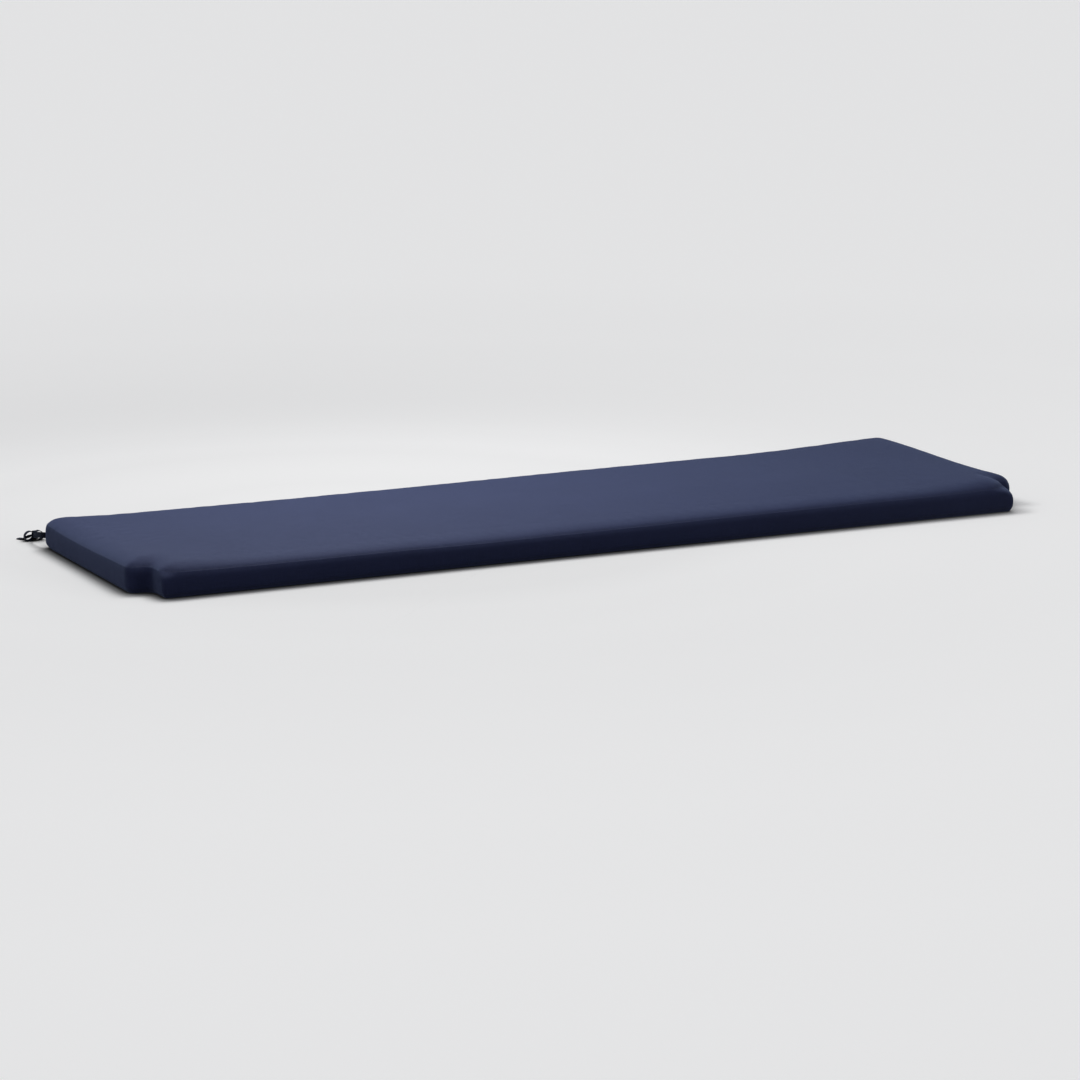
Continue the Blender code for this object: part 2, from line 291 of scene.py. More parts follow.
def pale_floor():
    """A pale floor: darker paint under the key light and a faint glow away from it, so that it
    looks evenly lit, and painted contact shade, darker where something rests on it."""
    finish = Finish("pale_floor")
    placed = finish.node("Mapping", {"vector_type": "TEXTURE"}, Location=FLOOR_CENTRE,
                         Vector=finish.node("TexCoord").outputs["Object"])
    away = finish.node("VectorMath", {"operation": "LENGTH"})
    finish.plug(away.inputs[0], placed.outputs["Vector"])
    # Painted contact shade: occlusion darkens the floor's colour and glow next to the cushion and
    # ties
    open_share = finish.node("AmbientOcclusion", {"samples": 16}, Distance=PAINTED_CONTACT_SHADE["reach"])
    painted_contact_shade = finish.spread(open_share.outputs["AO"], 0.30, 0.95, PAINTED_CONTACT_SHADE["darkest"], 1.0)
    for socket, stops in (("Base Color", FLOOR_TONE), ("Emission Strength", FLOOR_GLOW)):
        level = grey_ramp(finish.tree, away.outputs["Value"], stops)
        finish.plug(finish.shader.inputs[socket], finish.math("MULTIPLY", level, painted_contact_shade))
    finish.shader.inputs["Emission Color"].default_value = (1.0, 1.0, 1.0, 1.0)
    finish.shader.inputs["Roughness"].default_value = 0.9
    finish.shader.inputs["Specular IOR Level"].default_value = 0.1
    return finish.material


def navy_canvas():
    """Tightly woven outdoor canvas: a plain weave, uneven threads, painted shade along a groove
    beside each seam, and a soft bloom of light.
    """
    finish = Finish("navy_canvas")
    weave = finish.node("UVMap", {"uv_map": "weave"}).outputs["UV"]
    cells = finish.stretched(weave, (1 / WEAVE_PITCH[0], 1 / WEAVE_PITCH[1], 1.0))
    parts = finish.node("SeparateXYZ", Vector=cells)
    warp = finish.math("ABSOLUTE", finish.math("SINE", finish.math(
        "MULTIPLY", parts.outputs["X"], math.pi)))
    weft = finish.math("ABSOLUTE", finish.math("SINE", finish.math(
        "MULTIPLY", parts.outputs["Y"], math.pi)))
    over = finish.node("TexChecker", Vector=cells, Scale=1.0).outputs["Fac"]
    thread = finish.node("Mix", Factor=over)
    finish.plug(thread.inputs["A"], finish.math("MULTIPLY", warp, finish.spread(weft, 0, 1, 0.45, 1)))
    finish.plug(thread.inputs["B"], finish.math("MULTIPLY", weft, finish.spread(warp, 0, 1, 0.45, 1)))
    thread = thread.outputs["Result"]

    along = finish.noise(finish.stretched(weave, (40.0, 1400.0, 1.0)), 1.0)
    across = finish.noise(finish.stretched(weave, (1400.0, 40.0, 1.0)), 1.0)
    cloudy = finish.noise(finish.stretched(weave, (9.0, 9.0, 1.0)), 1.0, 3.0)
    tone = finish.math("ADD", finish.spread(along, 0.25, 0.75, -0.10, 0.10),
                       finish.spread(across, 0.25, 0.75, -0.10, 0.10))
    tone = finish.math("ADD", tone, finish.spread(cloudy, 0.3, 0.7, 0.46, 0.54))
    tone = finish.math("MULTIPLY", tone, finish.spread(thread, 0.0, 0.8, 0.72, 1.0))
    seam = finish.math("ABSOLUTE", finish.attribute("from_seam"))
    # Painted shade in the seam groove: the colour darkens along a line beside each seam, and the bump
    # dents there too
    groove_and_shade = finish.math("ABSOLUTE", finish.math(
        "SUBTRACT", finish.attribute("from_seam"), SEAM_GROOVE_AND_SHADE["offset"]))
    groove_and_shade = finish.spread(groove_and_shade, 0.0, SEAM_GROOVE_AND_SHADE["half_width"], 1.0, 0.0)
    shaded = finish.math("SUBTRACT", tone, finish.math("MULTIPLY", groove_and_shade, SEAM_GROOVE_AND_SHADE["darker"]))
    colour = finish.node("ValToRGB", Fac=shaded)
    ramp = colour.color_ramp
    ramp.elements[0].color = NAVY_DEEP
    ramp.elements[1].color = NAVY_PALE
    finish.plug(finish.shader.inputs["Base Color"], colour.outputs["Color"])

    run = finish.attribute("run")
    stitch = finish.math("SINE", finish.math("MULTIPLY", run, 2 * math.pi / STITCH_LENGTH))
    stitch = finish.math("MULTIPLY", stitch, finish.spread(seam, 0.0, 0.0030, 0.30, 0.0))
    gathers = finish.node("TexNoise", {"noise_dimensions": "1D"},
                          W=finish.math("DIVIDE", run, GATHERS["length"]), Scale=1.0, Detail=1.5)
    gathers = finish.math("MULTIPLY", gathers.outputs["Fac"], finish.spread(
        seam, 0.0, GATHERS["reach"], GATHERS["height"], 0.0))
    sewing = finish.math("SUBTRACT", finish.math("ADD", stitch, gathers), groove_and_shade)
    fine = finish.node("Bump", Height=thread, Strength=0.55, Distance=0.00016)
    sewn = finish.node("Bump", Height=sewing, Strength=0.7, Distance=0.0003,
                       Normal=fine.outputs["Normal"])
    finish.plug(finish.shader.inputs["Normal"], sewn.outputs["Normal"])
    finish.plug(finish.shader.inputs["Roughness"], finish.spread(tone, 0.3, 0.7, 0.88, 0.78))
    finish.shader.inputs["Specular IOR Level"].default_value = 0.25
    finish.shader.inputs["Sheen Weight"].default_value = SHEEN["weight"]
    finish.shader.inputs["Sheen Roughness"].default_value = SHEEN["roughness"]
    finish.shader.inputs["Sheen Tint"].default_value = SHEEN["tint"]
    return finish.material


def navy_tape():
    """Dark cotton tape with herringbone ribs and thicker edges."""
    finish = Finish("navy_tape")
    along = finish.attribute("along")
    side = finish.math("ABSOLUTE", finish.attribute("across"))
    rib = finish.math("SINE", finish.math("MULTIPLY", finish.math("ADD", along, side),
                                          2 * math.pi / TAPE_RIB))
    edge = finish.spread(side, 0.43 * TAPE_WIDTH, 0.5 * TAPE_WIDTH, 0.0, 1.0)
    height = finish.math("ADD", finish.math("MULTIPLY", rib, 0.4), edge)
    bump = finish.node("Bump", Height=height, Strength=0.6, Distance=0.0002)
    finish.plug(finish.shader.inputs["Normal"], bump.outputs["Normal"])
    uneven = finish.noise(finish.node("TexCoord").outputs["Object"], 900.0)
    tone = finish.math("ADD", finish.spread(rib, -1, 1, 0.25, 0.6), finish.math(
        "MULTIPLY", uneven, 0.4))
    colour = finish.node("ValToRGB", Fac=tone)
    colour.color_ramp.elements[0].color = TAPE_DEEP
    colour.color_ramp.elements[1].color = TAPE_PALE
    finish.plug(finish.shader.inputs["Base Color"], colour.outputs["Color"])
    finish.shader.inputs["Roughness"].default_value = 0.82
    finish.shader.inputs["Specular IOR Level"].default_value = 0.15
    finish.shader.inputs["Sheen Weight"].default_value = 0.10
    finish.shader.inputs["Sheen Roughness"].default_value = 0.5
    finish.shader.inputs["Sheen Tint"].default_value = SHEEN["tint"]
    return finish.material


# ---------------------------------------------------------------- camera, light and floor

def add_camera():
    data = bpy.data.cameras.new("camera")
    data.sensor_width = SENSOR_WIDTH
    data.lens = CAMERA_FOCAL_PIXELS / PHOTO_PIXELS * SENSOR_WIDTH
    data.clip_end = 200
    camera = bpy.data.objects.new("camera", data)
    bpy.context.scene.collection.objects.link(camera)
    camera.location = CAMERA_PLACE
    camera.rotation_euler = (math.radians(90 - CAMERA_PITCH), 0, math.radians(-CAMERA_YAW))
    bpy.context.scene.camera = camera


def add_broad_light():
    """An even light over the whole floor, from above and behind."""
    data = bpy.data.lights.new("broad", "SUN")
    data.energy = BROAD_LIGHT["strength"]
    data.angle = math.radians(BROAD_LIGHT["softness"])
    light = bpy.data.objects.new("broad", data)
    bpy.context.scene.collection.objects.link(light)
    light.rotation_euler = Vector(BROAD_LIGHT["towards"]).to_track_quat("Z", "Y").to_euler()


def add_key_light():
    """A soft box over the cushion, left of its middle, so that its ends are a little darker."""
    data = bpy.data.lights.new("key", "AREA")
    data.shape = "RECTANGLE"
    data.size, data.size_y = KEY_LIGHT["size"]
    data.energy = KEY_LIGHT["power"]
    light = bpy.data.objects.new("key", data)
    bpy.context.scene.collection.objects.link(light)
    light.location = KEY_LIGHT["place"]
    aim = Vector(KEY_LIGHT["target"]) - Vector(KEY_LIGHT["place"])
    light.rotation_euler = aim.to_track_quat("-Z", "Y").to_euler()


def add_studio():
    """Soft light from above and behind, with a weak fill from every side, over a pale floor."""
    world = bpy.data.worlds.new("studio")
    world.use_nodes = True
    links = world.node_tree.links
    fill = world.node_tree.nodes["Background"]
    fill.inputs["Color"].default_value = (0.96, 0.97, 1.0, 1.0)
    direction = world.node_tree.nodes.new("ShaderNodeSeparateXYZ")
    links.new(world.node_tree.nodes.new("ShaderNodeTexCoord").outputs["Generated"],
              direction.inputs["Vector"])
    strength = grey_ramp(world.node_tree, direction.outputs["Z"], FILL_BY_HEIGHT)
    links.new(strength, fill.inputs["Strength"])
    backdrop = world.node_tree.nodes.new("ShaderNodeBackground")
    backdrop.inputs["Color"].default_value = (0.93, 0.93, 0.93, 1.0)
    seen = world.node_tree.nodes.new("ShaderNodeLightPath")
    choice = world.node_tree.nodes.new("ShaderNodeMixShader")
    links.new(seen.outputs["Is Camera Ray"], choice.inputs["Fac"])
    links.new(fill.outputs["Background"], choice.inputs[1])
    links.new(backdrop.outputs["Background"], choice.inputs[2])
    links.new(choice.outputs["Shader"], world.node_tree.nodes["World Output"].inputs["Surface"])
    bpy.context.scene.world = world
    bpy.context.scene.view_settings.view_transform = "Standard"
    add_broad_light()
    add_key_light()
    add_floor()


def add_floor():
    """A pale floor, wide enough to fill the view. It gives no light back to the cushion."""
    bm = bmesh.new()
    bmesh.ops.create_grid(bm, x_segments=1, y_segments=1, size=70.0)
    floor = finished_piece(bm, "floor", pale_floor(), smooth_faces=False)
    floor.visible_diffuse = False


def finished_piece(bm, name, material, smooth_faces=True):
    mesh = bpy.data.meshes.new(name)
    bm.to_mesh(mesh)
    bm.free()
    if smooth_faces:
        mesh.shade_smooth()
    mesh.materials.append(material)
    piece = bpy.data.objects.new(name, mesh)
    bpy.context.scene.collection.objects.link(piece)
    return piece


# ---------------------------------------------------------------- ties

def along_route(route, side):
    """A smooth path through a route's points; side is -1 at the left corner and 1 at the right."""
    points = [Vector((side * p["out"], p["back"], p["up"])) for p in route]
    padded = [2 * points[0] - points[1]] + points + [2 * points[-1] - points[-2]]
    path = []
    for a, b, c, d in zip(padded, padded[1:], padded[2:], padded[3:]):
        for k in range(TAPE_STEPS):
            t = k / TAPE_STEPS
            path.append(0.5 * (2 * b + (c - a) * t + (2 * a - 5 * b + 4 * c - d) * t * t
                               + (3 * b - a - 3 * c + d) * t ** 3))
    path.append(points[-1])
    return path


def flat_section(width, thickness):
    """Points round a flat tape's section, as distances across and through it."""
    section = []
    for k in range(TAPE_SECTION_POINTS):
        angle = 2 * math.pi * (k + 0.5) / TAPE_SECTION_POINTS
        across, through = math.cos(angle), math.sin(angle)
        section.append((width / 2 * math.copysign(abs(across) ** 0.55, across),
                        thickness / 2 * math.copysign(abs(through) ** 0.45, through)))
    return section


def sweep_tape(bm, layers, path, width_axis, width_share=1.0, pinched=(), hemmed=False):
    """Sweeps a flat tape along a path. It is gathered at its pinched ends, start or far, and its
    last stretch is made thicker where it is hemmed, as though folded over."""
    lengths = [0.0]
    for a, b in zip(path, path[1:]):
        lengths.append(lengths[-1] + (b - a).length)
    made = bmesh.ops.create_circle(bm, cap_ends=True, segments=TAPE_SECTION_POINTS, radius=1.0)
    end = made["verts"][0].link_faces[0]
    for i, (centre, run) in enumerate(zip(path, lengths)):
        if i > 0:
            grown = bmesh.ops.extrude_face_region(bm, geom=[end])["geom"]
            if i > 1:
                bmesh.ops.delete(bm, geom=[end], context="FACES_ONLY")
            end = next(item for item in grown if isinstance(item, bmesh.types.BMFace))
        along = (path[min(i + 1, len(path) - 1)] - path[max(i - 1, 0)]).normalized()
        across = (width_axis - along * width_axis.dot(along)).normalized()
        through = across.cross(along).normalized()
        width, thickness = TAPE_WIDTH * width_share, TAPE_THICKNESS
        for pinch in pinched:
            near = run if pinch == "start" else lengths[-1] - run
            share = 1 - smooth(near / PINCH["reach"])
            width *= 1 - (1 - PINCH["width"]) * share
            thickness *= 1 + 0.5 * share
        if hemmed and lengths[-1] - run < HEM["length"]:
            thickness *= HEM["thickness"]
        for v, (a, b) in zip(end.verts, flat_section(width, thickness)):
            v.co = centre + across * a + through * b
            v[layers["along"]] = run
            v[layers["across"]] = a


def tape_bmesh():
    bm = bmesh.new()
    return bm, {name: bm.verts.layers.float.new(name) for name in ("along", "across")}


def make_tape(name, route, side, material):
    """One tape, from where it is sewn into the back corner to the knot."""
    bm, layers = tape_bmesh()
    path = along_route(route, side)
    sewn_in = path[0] - (path[1] - path[0]).normalized() * SEWN_IN
    sweep_tape(bm, layers, [sewn_in] + path, Vector((0, 0, 1)), pinched=("far",))
    bmesh.ops.recalc_face_normals(bm, faces=bm.faces[:])
    return finished_piece(bm, name, material), path


def knot_turn(side, tilt):
    """A turn and a bit of tape round the knot, from behind it, with its two ends tucked in."""
    path = []
    for k in range(KNOT_TURN_POINTS + 1):
        share = k / KNOT_TURN_POINTS
        angle = -math.pi / 2 + 2 * math.pi * 1.25 * share
        tucked = 0.80 + 0.20 * math.sin(math.pi * share) ** 0.5
        path.append(Vector((side * KNOT_CENTRE[0] + tilt * math.sin(angle),
                            KNOT_CENTRE[1] + KNOT_WRAP[0] * tucked * math.cos(angle),
                            KNOT_CENTRE[2] + KNOT_WRAP[1] * tucked * math.sin(angle))))
    return path


def make_bow(name, side, material):
    """The bow: a gathered core, tape wound round it, two loops and two free ends."""
    bm, layers = tape_bmesh()
    core = bmesh.ops.create_uvsphere(bm, u_segments=20, v_segments=14, radius=1.0)["verts"]
    bmesh.ops.scale(bm, vec=KNOT_CORE, verts=core)
    bmesh.ops.translate(bm, vec=(side * KNOT_CENTRE[0], *KNOT_CENTRE[1:]), verts=core)
    upright, level, sideways = Vector((0, 0, 1)), Vector((0, 1, 0)), Vector((side, 0, 0))
    for tilt, share in ((0.0016, 0.55), (-0.0014, 0.50)):
        sweep_tape(bm, layers, knot_turn(side, tilt), sideways, share)
    for route in (OUTER_LOOP, INNER_LOOP):
        sweep_tape(bm, layers, along_route(route, side), level, pinched=("start", "far"))
    for route in (LONG_END, SHORT_END):
        sweep_tape(bm, layers, along_route(route, side), sideways, pinched=("start",), hemmed=True)
    bmesh.ops.recalc_face_normals(bm, faces=bm.faces[:])
    return finished_piece(bm, name, material)


def make_tie(label, side, material):
    """Two tapes from one back corner and the bow that joins them."""
    bow = make_bow("tie_bow_" + label, side, material)
    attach(bow, "root")
    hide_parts("bow_" + label)
    for part, route, carried in (("outer", OUTER_TAPE, [bow]), ("inner", INNER_TAPE, [])):
        tape, path = make_tape("tape_%s_%s" % (label, part), route, side, material)
        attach(tape, "root")
        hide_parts("tie_%s_%s" % (label, part))


# ---------------------------------------------------------------- the cushion's plan

def even_lines(start, end, step):
    """Places from start to end, both of them in, about a step apart."""
    count = max(1, round((end - start) / step))
    return [start + (end - start) * i / count for i in range(count + 1)]


def rows_inside(edge):
    """Places next to an edge, on its inner side, from the innermost one to the edge."""
    return [edge - row for row in reversed(SEAM_ROWS)]


def plan_columns():
    """Places of the mesh lines along the cushion, denser inside each seam."""
    tongue, end = FRONT_EDGE / 2, LENGTH / 2
    near_tongue, near_end = rows_inside(tongue), rows_inside(end)
    half = even_lines(0, near_tongue[0], PANEL_STEP)[:-1] + near_tongue
    half += even_lines(tongue, near_end[0], PANEL_STEP)[1:-1] + near_end
    return [-x for x in reversed(half[1:])] + half


def plan_rows():
    """Places of the mesh lines from the front edge to the back one."""
    front, back = -DEPTH / 2, DEPTH / 2
    step = front + NOTCH_DEPTH
    near_front = [front + row for row in SEAM_ROWS]
    near_step = [step + row for row in SEAM_ROWS]
    near_back = rows_inside(back)
    lines = near_front + even_lines(near_front[-1], step, PANEL_STEP)[1:-1] + near_step
    return lines + even_lines(near_step[-1], near_back[0], PANEL_STEP)[1:-1] + near_back


def panel_distance(x, y):
    """How far a point of the square-cornered plan lies inside its edge."""
    to_end, to_back, to_front = LENGTH / 2 - abs(x), DEPTH / 2 - y, DEPTH / 2 + y
    across, along = FRONT_EDGE / 2 - abs(x), to_front - NOTCH_DEPTH
    if across <= 0:
        return max(0.0, min(to_end, to_back, along))
    if along <= 0:
        return max(0.0, min(across, to_front))
    return max(0.0, min(to_end, to_back, to_front, max(across, along)))


def round_about(x, y, centre, turn, radius, blend=0.001):
    """Bends the square rows around one corner of the plan into arcs about the corner's centre.
    blend is how far past the radius the bend fades out."""
    u, v = (x - centre[0]) * turn[0], (y - centre[1]) * turn[1]
    if u <= 0 or v <= 0:
        return x, y
    reach = max(u, v)
    share = 1.0 - smooth((reach - radius) / blend)
    angle = math.pi / 4 * min(u, v) / reach
    bent = (reach * math.cos(angle), reach * math.sin(angle))
    if v > u:
        bent = bent[::-1]
    u, v = u + (bent[0] - u) * share, v + (bent[1] - v) * share
    return centre[0] + u * turn[0], centre[1] + v * turn[1]


def rounded(x, y, height):
    """A point of the square-cornered plan, moved to the plan with round corners at a height."""
    side = -1 if x < 0 else 1
    x = abs(x)
    tongue, end = FRONT_EDGE / 2, LENGTH / 2
    front, back, step = -DEPTH / 2, DEPTH / 2, -DEPTH / 2 + NOTCH_DEPTH
    share = (height / UPPER_SEAM_HEIGHT) ** FRONT_RADIUS_POWER
    top_radius = FRONT_TOP_RADIUS["left" if side < 0 else "right"]
    radius = FRONT_RADIUS + (top_radius - FRONT_RADIUS) * share
    x, y = round_about(x, y, (tongue - radius, front + radius), (1, -1), radius)
    x, y = round_about(x, y, (end - SIDE_RADIUS, step + SIDE_RADIUS), (1, -1), SIDE_RADIUS)
    x, y = round_about(x, y, (end - BACK_RADIUS, back - BACK_RADIUS), (1, 1), BACK_RADIUS)
    x, y = round_about(x, y, (tongue + NOTCH_RADIUS, step - NOTCH_RADIUS), (-1, 1),
                       NOTCH_RADIUS, NOTCH_BLEND)
    return side * x, y


def set_back(height):
    """How far in from the band's own plan the case is at a height."""
    depth = 0.0
    for seam, part in ((UPPER_SEAM_HEIGHT, UPPER_SET_BACK), (LOWER_SEAM_HEIGHT, LOWER_SET_BACK)):
        near = max(0.0, 1 - abs(seam - height) / part["reach"])
        depth += part["depth"] * near ** part["power"]
    return depth


def drawn_back(plan_x, plan_y, depth):
    """The move that sets a point of the square-cornered plan back from its edges, fading out
    towards the middle of the panel."""
    def near(distance):
        return max(0.0, 1 - abs(distance) / SET_BACK_FADE)

    side = -1 if plan_x < 0 else 1
    to_end, to_back = LENGTH / 2 - abs(plan_x), DEPTH / 2 - plan_y
    to_front, across = DEPTH / 2 + plan_y, FRONT_EDGE / 2 - abs(plan_x)
    along = to_front - NOTCH_DEPTH
    inwards = near(to_end) if along > -TOUCHING else 0.0
    inwards = max(inwards, near(across) * (near(along) if along > 0 else 1.0))
    forwards = near(to_front) if across > -TOUCHING else 0.0
    forwards = max(forwards, near(along) * (near(across) if across > 0 else 1.0))
    forwards = forwards * SET_BACK_SHARES["front"] - near(to_back) * SET_BACK_SHARES["back"]
    return -side * SET_BACK_SHARES["ends"] * inwards * depth, forwards * depth


def fullness(x, y):
    """The share by which the filling stands over or under its usual height."""
    share = FULLER_RIGHT_END * smooth((x + LENGTH / 4) / (2 * LENGTH / 3))
    for spot in FULLER_SPOTS:
        away = math.hypot(x - spot["x"], y - spot["y"]) / spot["reach"]
        share += spot["share"] * math.exp(-away * away)
    return 1.0 + share


def front_sag(x, y, height):
    """How far the upper seam hangs lower along the right of the front edge."""
    share = smooth((x - FRONT_SAG["from"]) / (FRONT_SAG["to"] - FRONT_SAG["from"]))
    away = (y + DEPTH / 2) / FRONT_SAG["reach"]
    share *= math.exp(-away * away) * min(1.0, height / UPPER_SEAM_HEIGHT) ** 2
    return FRONT_SAG["depth"] * share


def shoulder_size(sizes, x, y):
    """A size of the shoulder, which is smaller along the front edge, away from the ends."""
    to_front, to_end = DEPTH / 2 + y, LENGTH / 2 - abs(x)
    share = (1 - smooth(to_front / FRONT_SHOULDER_FADE)) * smooth(to_end / FRONT_SHOULDER_FADE)
    return sizes["elsewhere"] + (sizes["front"] - sizes["elsewhere"]) * share


def panel_height(x, y):
    """Height of the top panel over a point of the square-cornered plan."""
    inside = panel_distance(x, y)
    away = min(inside / shoulder_size(SHOULDER_REACH, x, y), 1.0)
    shoulder = shoulder_size(SHOULDER_RISE, x, y) * (1 - (1 - away) ** 3)
    shoulder += EDGE_RISE * (1 - (1 - min(inside / EDGE_REACH, 1.0)) ** 2)
    crown = CROWN_RISE * (1 - (2 * x / LENGTH) ** 4) * (1 - (2 * y / DEPTH) ** 2) * smooth(away)
    return UPPER_SEAM_HEIGHT + shoulder + crown


def settled(plan_x, plan_y, height):
    """A point of the case from its square-cornered plan: corners rounded, seams set back, the
    long edges drawn in between the corners, the filling uneven."""
    x, y = rounded(plan_x, plan_y, min(height, UPPER_SEAM_HEIGHT))
    move_x, move_y = drawn_back(plan_x, plan_y, set_back(min(height, UPPER_SEAM_HEIGHT)))
    x, y = x + move_x, y + move_y
    deepest = FRONT_DRAWN_IN if y < 0 else BACK_DRAWN_IN
    bow = deepest * (1 - (2 * x / LENGTH) ** 2)
    return Vector((x, y * (1 - 2 * bow / DEPTH), height * fullness(x, y) - front_sag(x, y, height)))


# ---------------------------------------------------------------- the cushion's case

def plan_grid(bm, layers):
    """The top panel as a flat grid with its notches cut out; each point keeps its plan place."""
    columns, rows = plan_columns(), plan_rows()
    bmesh.ops.create_grid(bm, x_segments=len(columns) - 1, y_segments=len(rows) - 1, size=1.0)
    for v in bm.verts:
        v[layers["plan_x"]] = columns[round((v.co.x + 1) / 2 * (len(columns) - 1))]
        v[layers["plan_y"]] = rows[round((v.co.y + 1) / 2 * (len(rows) - 1))]
        v.co = Vector((v[layers["plan_x"]], v[layers["plan_y"]], 0))
    step = -DEPTH / 2 + NOTCH_DEPTH
    cut = [f for f in bm.faces
           if abs(f.calc_center_median().x) > FRONT_EDGE / 2 and f.calc_center_median().y < step]
    bmesh.ops.delete(bm, geom=cut, context="FACES")


def number_round(bm, layers):
    """Gives each point of the panel's edge its distance along the edge, and returns the length."""
    follow = {}
    for edge in (e for e in bm.edges if e.is_boundary):
        for v in edge.verts:
            follow.setdefault(v, []).append(edge.other_vert(v))
    start = min(follow, key=lambda v: (-v[layers["plan_y"]], abs(v[layers["plan_x"]])))
    previous, current, run = None, start, 0.0
    while True:
        current[layers["run"]] = run
        following = next(v for v in follow[current] if v is not previous)
        run += (following.co - current.co).length
        previous, current = current, following
        if current is start:
            return run


def drop_band(bm, layers):
    """Extrudes the panel's edge down the boxing band, row by row, and returns the last row."""
    edges = [e for e in bm.edges if e.is_boundary]
    for drop in BAND_DROPS:
        grown = bmesh.ops.extrude_edge_only(bm, edges=edges)["geom"]
        edges = [item for item in grown if isinstance(item, bmesh.types.BMEdge) and item.is_boundary]
        for v in {v for e in edges for v in e.verts}:
            height = UPPER_SEAM_HEIGHT - drop
            v.co = settled(v[layers["plan_x"]], v[layers["plan_y"]], height)
            v[layers["from_seam"]] = -min(drop, BAND_DROPS[-1] - drop)
        for face in {f for e in edges for f in e.link_faces}:
            face[layers["on_band"]] = 1
    return edges


def raise_panel(bm, layers):
    """Gives the top panel its round corners and its crowned height."""
    for v in bm.verts:
        x, y = v[layers["plan_x"]], v[layers["plan_y"]]
        v.co = settled(x, y, panel_height(x, y))
        v[layers["from_seam"]] = panel_distance(x, y)


def inside_edge(plan_x, plan_y, inset):
    """A point of the square-cornered plan's edge, moved in from it."""
    side = -1 if plan_x < 0 else 1
    x, y = abs(plan_x), plan_y
    tongue, step = FRONT_EDGE / 2, NOTCH_DEPTH - DEPTH / 2
    on_tongue_side = abs(x - tongue) < TOUCHING and y < step + TOUCHING
    on_step = abs(y - step) < TOUCHING and x > tongue - TOUCHING
    x -= inset if on_tongue_side else 0.0
    y += inset if on_step else 0.0
    if y < step:
        x = min(x, tongue - inset)
    if x > tongue:
        y = max(y, step + inset)
    x = min(x, LENGTH / 2 - inset)
    return side * x, min(max(y, inset - DEPTH / 2), DEPTH / 2 - inset)


def close_underside(bm, layers, edges):
    """Rolls the case under, row by row, and closes it with a flat panel cut into a coarse grid."""
    for inset in UNDERSIDE_ROWS:
        grown = bmesh.ops.extrude_edge_only(bm, edges=edges)["geom"]
        edges = [item for item in grown if isinstance(item, bmesh.types.BMEdge) and item.is_boundary]
        left = (1 - inset / UNDERSIDE_ROWS[-1]) ** UNDERSIDE_ROLL
        for v in {v for e in edges for v in e.verts}:
            place = inside_edge(v[layers["plan_x"]], v[layers["plan_y"]], inset)
            v.co = settled(*place, LOWER_SEAM_HEIGHT)
            v.co.z = FLOOR_GAP + (v.co.z - FLOOR_GAP) * left
            v[layers["from_seam"]] = inset
        for face in {f for e in edges for f in e.link_faces}:
            face[layers["on_band"]] = 0
    bmesh.ops.remove_doubles(bm, verts=bm.verts[:], dist=TOUCHING)
    rim = [e for e in bm.edges if e.is_boundary]
    faces = bmesh.ops.contextual_create(bm, geom=rim)["faces"]
    cuts = [((x, 0, 0), (1, 0, 0)) for x in even_lines(-LENGTH / 2, LENGTH / 2, UNDERSIDE_STEP)]
    cuts += [((0, y, 0), (0, 1, 0)) for y in even_lines(-DEPTH / 2, DEPTH / 2, UNDERSIDE_STEP)]
    for place, normal in cuts:
        geometry = faces + list({e for f in faces for e in f.edges})
        geometry += list({v for f in faces for v in f.verts})
        result = bmesh.ops.bisect_plane(bm, geom=geometry, dist=1e-6, plane_co=place, plane_no=normal)
        faces = [item for item in result["geom"] if isinstance(item, bmesh.types.BMFace)]
    for v in {v for f in faces for v in f.verts}:
        v[layers["from_seam"]] = max(v[layers["from_seam"]], UNDERSIDE_ROWS[-1])


def lay_out_cloth(bm, layers, run_length):
    """Lays the weave's coordinates on the faces, in metres: along the band, and flat on a panel."""
    uv = bm.loops.layers.uv.new("weave")
    for face in bm.faces:
        runs = [loop.vert[layers["run"]] for loop in face.loops]
        wraps = face[layers["on_band"]] and max(runs) - min(runs) > run_length / 2
        for loop, run in zip(face.loops, runs):
            if face[layers["on_band"]]:
                around = run + run_length if wraps and run < run_length / 2 else run
                loop[uv].uv = (around, loop.vert.co.z)
            else:
                loop[uv].uv = loop.vert.co.xy


def case_mesh():
    """The sewn case before the cloth settles: top panel, boxing band and underside."""
    bm = bmesh.new()
    layers = {name: bm.verts.layers.float.new(name)
              for name in ("plan_x", "plan_y", "run", "from_seam")}
    layers["on_band"] = bm.faces.layers.int.new("on_band")
    plan_grid(bm, layers)
    raise_panel(bm, layers)
    run_length = number_round(bm, layers)
    last_row = drop_band(bm, layers)
    close_underside(bm, layers, last_row)
    lay_out_cloth(bm, layers, run_length)
    bmesh.ops.recalc_face_normals(bm, faces=bm.faces[:])
    mesh = bpy.data.meshes.new("cushion_cover")
    bm.to_mesh(mesh)
    bm.free()
    mesh.shade_smooth()
    return mesh


def held_share(height, from_seam):
    """How firmly the filling and the seams hold a point of the case while the cloth settles."""
    if height < UNDERSIDE_HELD_BELOW:
        return 1.0
    if from_seam >= 0:
        return 1 - (1 - TOP_HELD) * smooth(from_seam / HELD_REACH)
    return 1 - (1 - BAND_HELD) * smooth(-2 * from_seam / HELD_REACH)


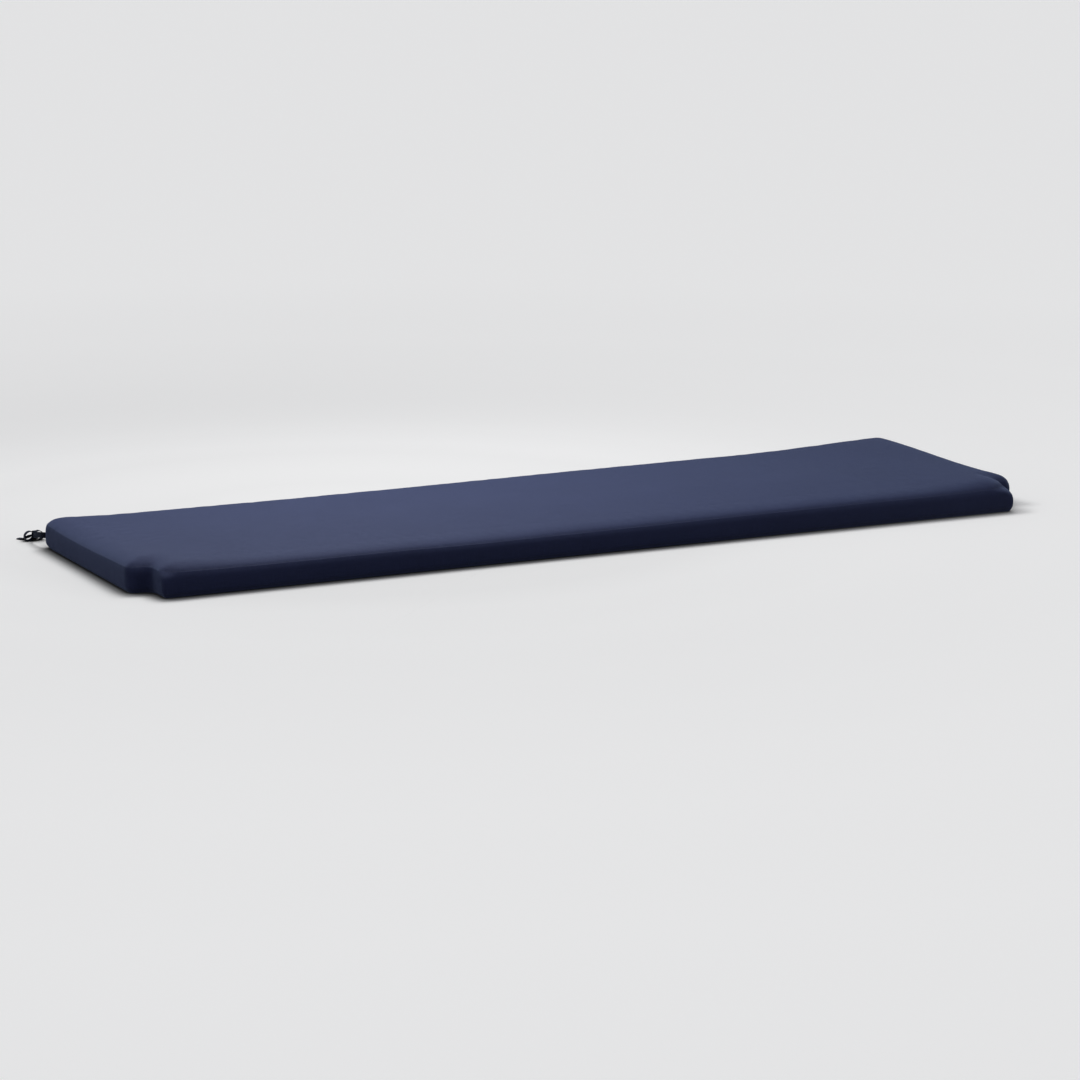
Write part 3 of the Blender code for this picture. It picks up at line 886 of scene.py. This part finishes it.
def settle_cloth(cushion):
    """Lets the case swell and crease a little under pressure, with its seams held, and keeps
    each point near the place that it came from."""
    mesh = cushion.data
    before = [v.co.copy() for v in mesh.vertices]
    held = cushion.vertex_groups.new(name="held")
    for v, from_seam in zip(mesh.vertices, mesh.attributes["from_seam"].data):
        held.add([v.index], held_share(v.co.z, from_seam.value), "REPLACE")
    modifier = cushion.modifiers.new("settle", "CLOTH")
    cloth = modifier.settings
    cloth.quality = 6
    cloth.mass = CLOTH["mass"]
    cloth.tension_stiffness = 12
    cloth.compression_stiffness = 6
    cloth.shear_stiffness = 4
    cloth.bending_stiffness = 0.3
    cloth.use_pressure = True
    cloth.uniform_pressure_force = CLOTH["pressure"]
    cloth.shrink_min = -CLOTH["slack"]
    cloth.vertex_group_mass = "held"
    cloth.effector_weights.gravity = 0
    modifier.point_cache.frame_start = 1
    modifier.point_cache.frame_end = CLOTH["frames"]
    for step in range(1, CLOTH["frames"] + 1):
        bpy.context.scene.frame_set(step)
    settled_cloth = cushion.evaluated_get(bpy.context.evaluated_depsgraph_get()).data
    after = [v.co.copy() for v in settled_cloth.vertices]
    cushion.modifiers.remove(modifier)
    cushion.vertex_groups.remove(held)
    bpy.context.scene.frame_set(1)
    for v, old, new in zip(mesh.vertices, before, after):
        move = new - old
        if move.length > 0:
            reach = CLOTH["cap"] * math.tanh(move.length / CLOTH["cap"])
            v.co = old + move.normalized() * reach


def refine(cushion):
    """One subdivision, applied, so that the seams have points enough for their ridges."""
    finer = cushion.modifiers.new("finer", "SUBSURF")
    finer.levels = finer.render_levels = 1
    depsgraph = bpy.context.evaluated_depsgraph_get()
    mesh = bpy.data.meshes.new_from_object(cushion.evaluated_get(depsgraph))
    cushion.modifiers.remove(finer)
    cushion.data = mesh
    mesh.name = "cushion_cover"


def carry_runs(mesh):
    """Gives the panels, near each seam, the seam's own distance round the cushion."""
    from_seam = mesh.attributes["from_seam"].data
    runs = mesh.attributes["run"].data
    seam = [v for v in mesh.vertices if abs(from_seam[v.index].value) < 1e-5]
    tree = KDTree(len(seam))
    for v in seam:
        tree.insert(v.co, v.index)
    tree.balance()
    for v in mesh.vertices:
        if from_seam[v.index].value > 0:
            nearest = tree.find(v.co)[1]
            runs[v.index].value = runs[nearest].value


def near_corner(place):
    """1 at a corner of the cushion's plan, falling to 0 away from it."""
    x, y = abs(place.x), place.y
    corners = ((LENGTH / 2, DEPTH / 2), (LENGTH / 2, NOTCH_DEPTH - DEPTH / 2),
               (FRONT_EDGE / 2, -DEPTH / 2))
    away = min(math.hypot(x - corner_x, y - corner_y) for corner_x, corner_y in corners)
    return math.exp(-(away / CORNER_REACH) ** 2)


def bell(distance, half_width):
    return math.exp(-(distance / half_width) ** 2)


def sew_seams(mesh):
    """Raises the ridge of each seam, presses the creases beside it, and adds the puckers and
    the slow waves of the cloth."""
    from_seam = mesh.attributes["from_seam"].data
    runs = mesh.attributes["run"].data
    moves = []
    for v in mesh.vertices:
        seam, run = from_seam[v.index].value, runs[v.index].value
        move = RIDGE["height"] * bell(seam, RIDGE["half_width"])
        crease = CREASE["depth"] * (CREASE["on_band"] if seam < 0 else 1)
        move -= crease * bell(abs(seam) - CREASE["offset"], CREASE["half_width"])
        corner = 1 + PUCKER["at_corners"] * near_corner(v.co)
        ripple = noise.noise(Vector((run / PUCKER["length"], seam * 40, 2.0)))
        move += PUCKER["depth"] * corner * ripple * bell(seam, PUCKER["reach"])
        away = smooth(abs(seam) / HELD_REACH)
        for wave in WAVES:
            place = v.co / wave["length"]
            move += wave["depth"] * away * noise.noise(place + Vector((3.1, 7.7, 0.4)))
        off_floor = smooth((v.co.z - FLOOR_GAP) / UNDERSIDE_FADE)
        moves.append(v.normal * (move * off_floor))
    for v, move in zip(mesh.vertices, moves):
        v.co += move
        v.co.z = max(v.co.z, FLOOR_GAP)


def make_cushion():
    cushion = bpy.data.objects.new("cushion_cover", case_mesh())
    bpy.context.scene.collection.objects.link(cushion)
    cushion.data.materials.append(navy_canvas())
    settle_cloth(cushion)
    refine(cushion)
    carry_runs(cushion.data)
    sew_seams(cushion.data)
    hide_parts("cushion")
    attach(cushion, "root")


def main():
    add_camera()
    tape = navy_tape()
    for label, side in (("left", -1), ("right", 1)):
        make_tie(label, side, tape)
    make_cushion()
    add_studio()


main()
